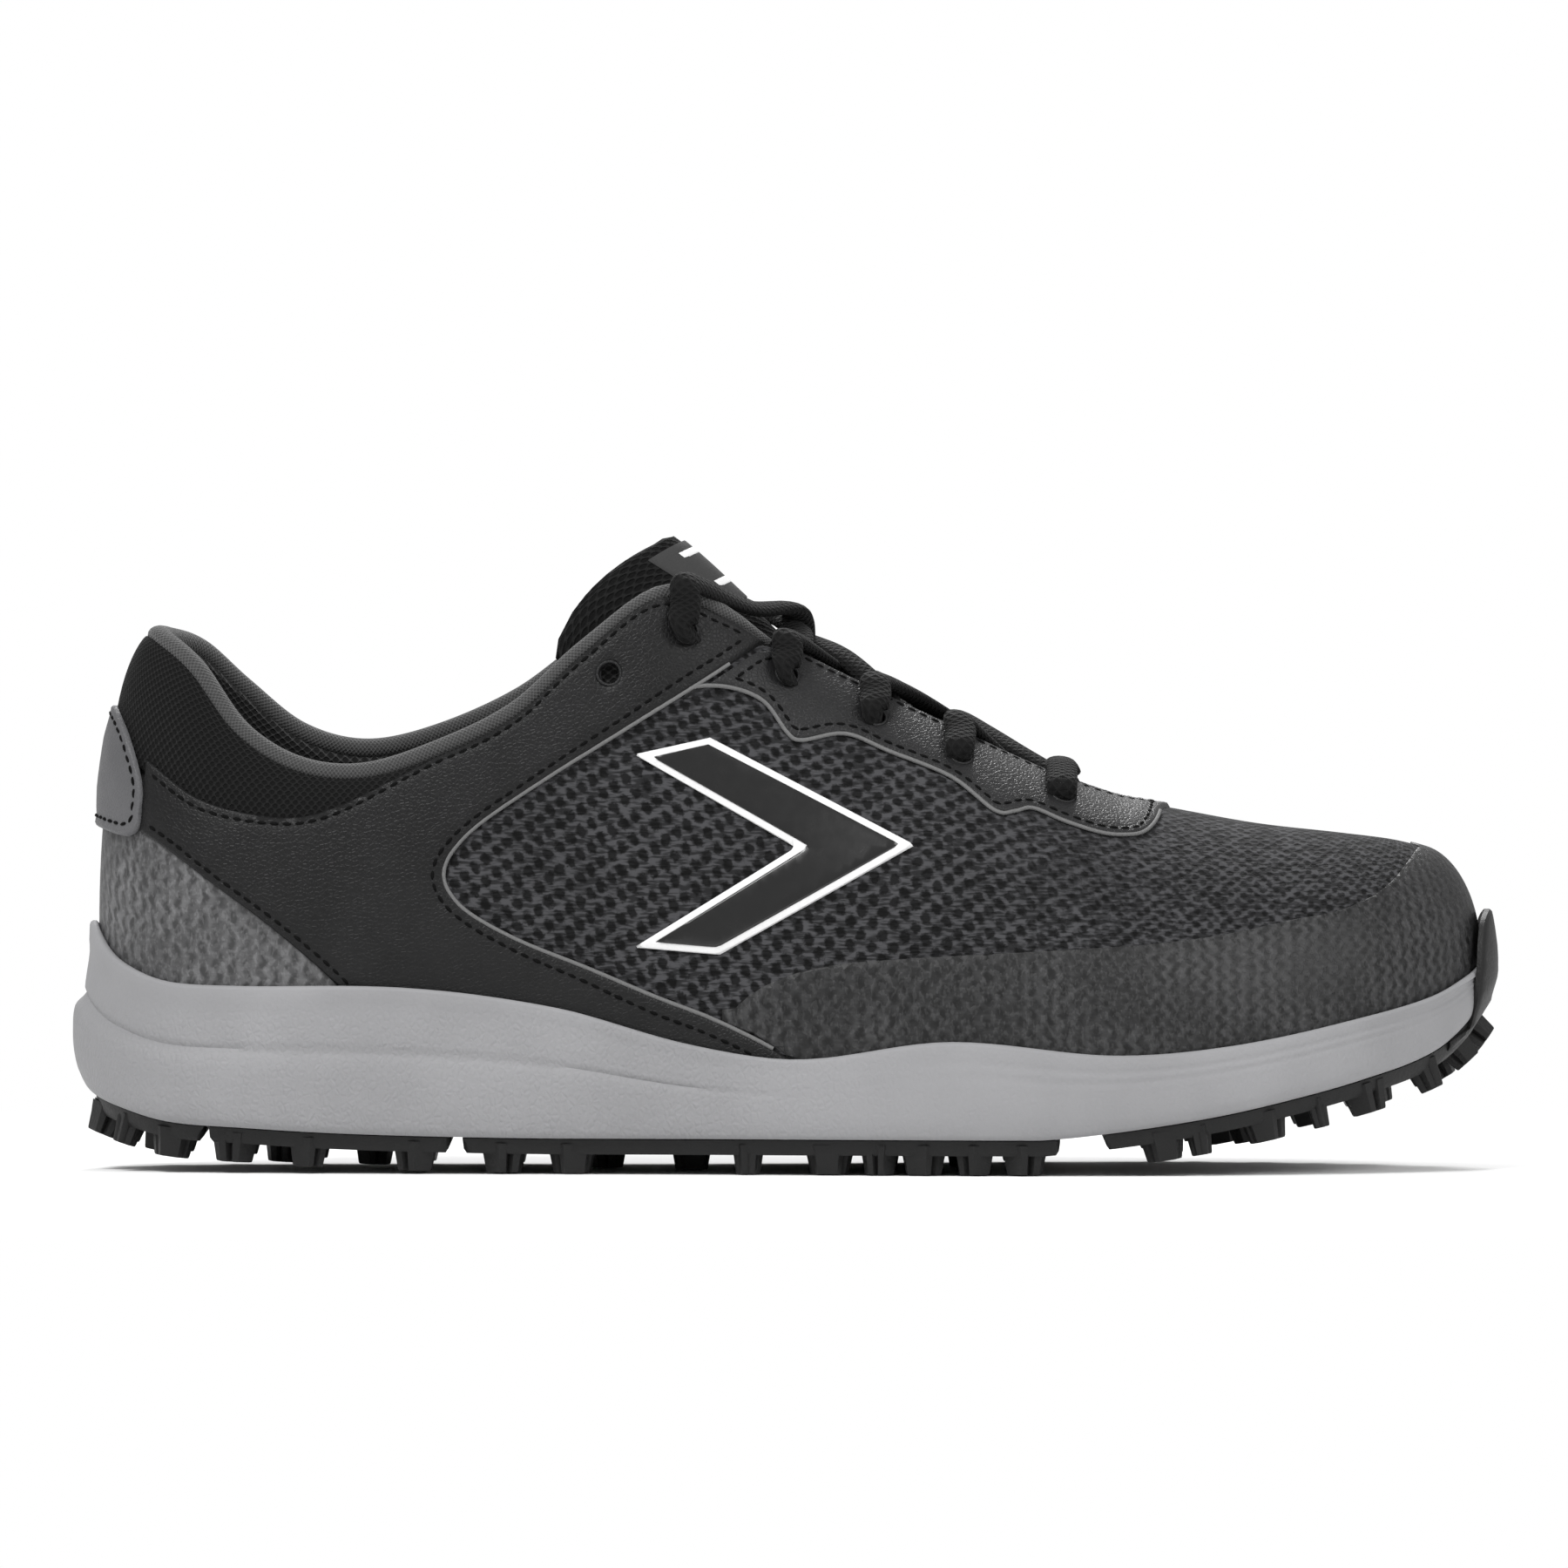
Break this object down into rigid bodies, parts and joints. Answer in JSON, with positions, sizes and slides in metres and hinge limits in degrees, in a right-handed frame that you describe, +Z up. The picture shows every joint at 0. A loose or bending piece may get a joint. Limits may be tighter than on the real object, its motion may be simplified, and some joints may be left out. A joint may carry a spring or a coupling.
{
  "type": "golf shoe",
  "caption": "Low-cut spikeless golf shoe for the right foot, with a foam midsole, lugged rubber outsole, knit and leather upper, hinged tongue and flexing forefoot.",
  "frame": {"origin": "on the ground under the middle of the shoe's bounding box", "axes": "+X towards the toe, +Y towards the inner side of the foot, +Z up"},
  "size_m": [0.302, 0.107, 0.1342],
  "materials": {
    "foam_grey": "satin moulded foam",
    "rubber_black": "matt moulded rubber",
    "board": "matt",
    "sockliner_foam": "matt cloth over foam",
    "knit": "matt patterned knit",
    "film": "satin film over knit",
    "leather_black": "satin",
    "leather_grey": "satin",
    "emblem_gloss": "gloss",
    "mesh_black": "matt spacer mesh",
    "binding": "matt knit",
    "padding": "soft",
    "stiffener": "matt",
    "lining": "matt mesh",
    "lace_cord": "matt braid",
    "webbing": "matt"
  },
  "bodies": {
    "rearfoot": {"midsole_rear": "foam_grey", "outsole_heel": "rubber_black", "outsole_rearfoot": "rubber_black", "outsole_midfoot": "rubber_black", "insole_board": "board", "sockliner": "sockliner_foam", "quarter_mesh_lateral": "knit", "quarter_mesh_medial": "knit", "heel_film": "film", "saddle_lateral": "leather_black", "saddle_medial": "leather_black", "eyestay_lateral": "leather_black", "eyestay_medial": "leather_black", "emblem_lateral": "emblem_gloss", "emblem_medial": "emblem_gloss", "collar_mesh": "mesh_black", "collar_foam": "padding", "collar_binding": "binding", "heel_tab": "leather_grey", "heel_counter": "stiffener", "quarter_lining": "lining", "lace": "lace_cord", "aglet_lateral": "emblem_gloss", "aglet_medial": "emblem_gloss"},
    "forefoot": {"midsole_fore": "foam_grey", "outsole_toe": "rubber_black", "vamp_mesh": "knit", "toe_film": "film", "toe_puff": "stiffener", "vamp_lining": "lining"},
    "tongue": {"tongue": "mesh_black", "tongue_label": "leather_black", "lace_keeper": "webbing"}
  },
  "joints": [
    {"name": "toe_flex", "type": "hinge", "parent": "rearfoot", "child": "forefoot", "pos_m": [0.0625, 0, 0.0258], "axis": [0, -1, 0], "range_deg": [0, 30], "stiffness_Nm_per_rad": 12, "deforming": ["vamp_mesh", "toe_film", "vamp_lining", "insole_board", "sockliner"]},
    {"name": "tongue_tilt", "type": "hinge", "parent": "rearfoot", "child": "tongue", "pos_m": [0.076, 0, 0.071], "axis": [0, -1, 0], "range_deg": [0, 10], "stiffness_Nm_per_rad": 1}
  ]
}
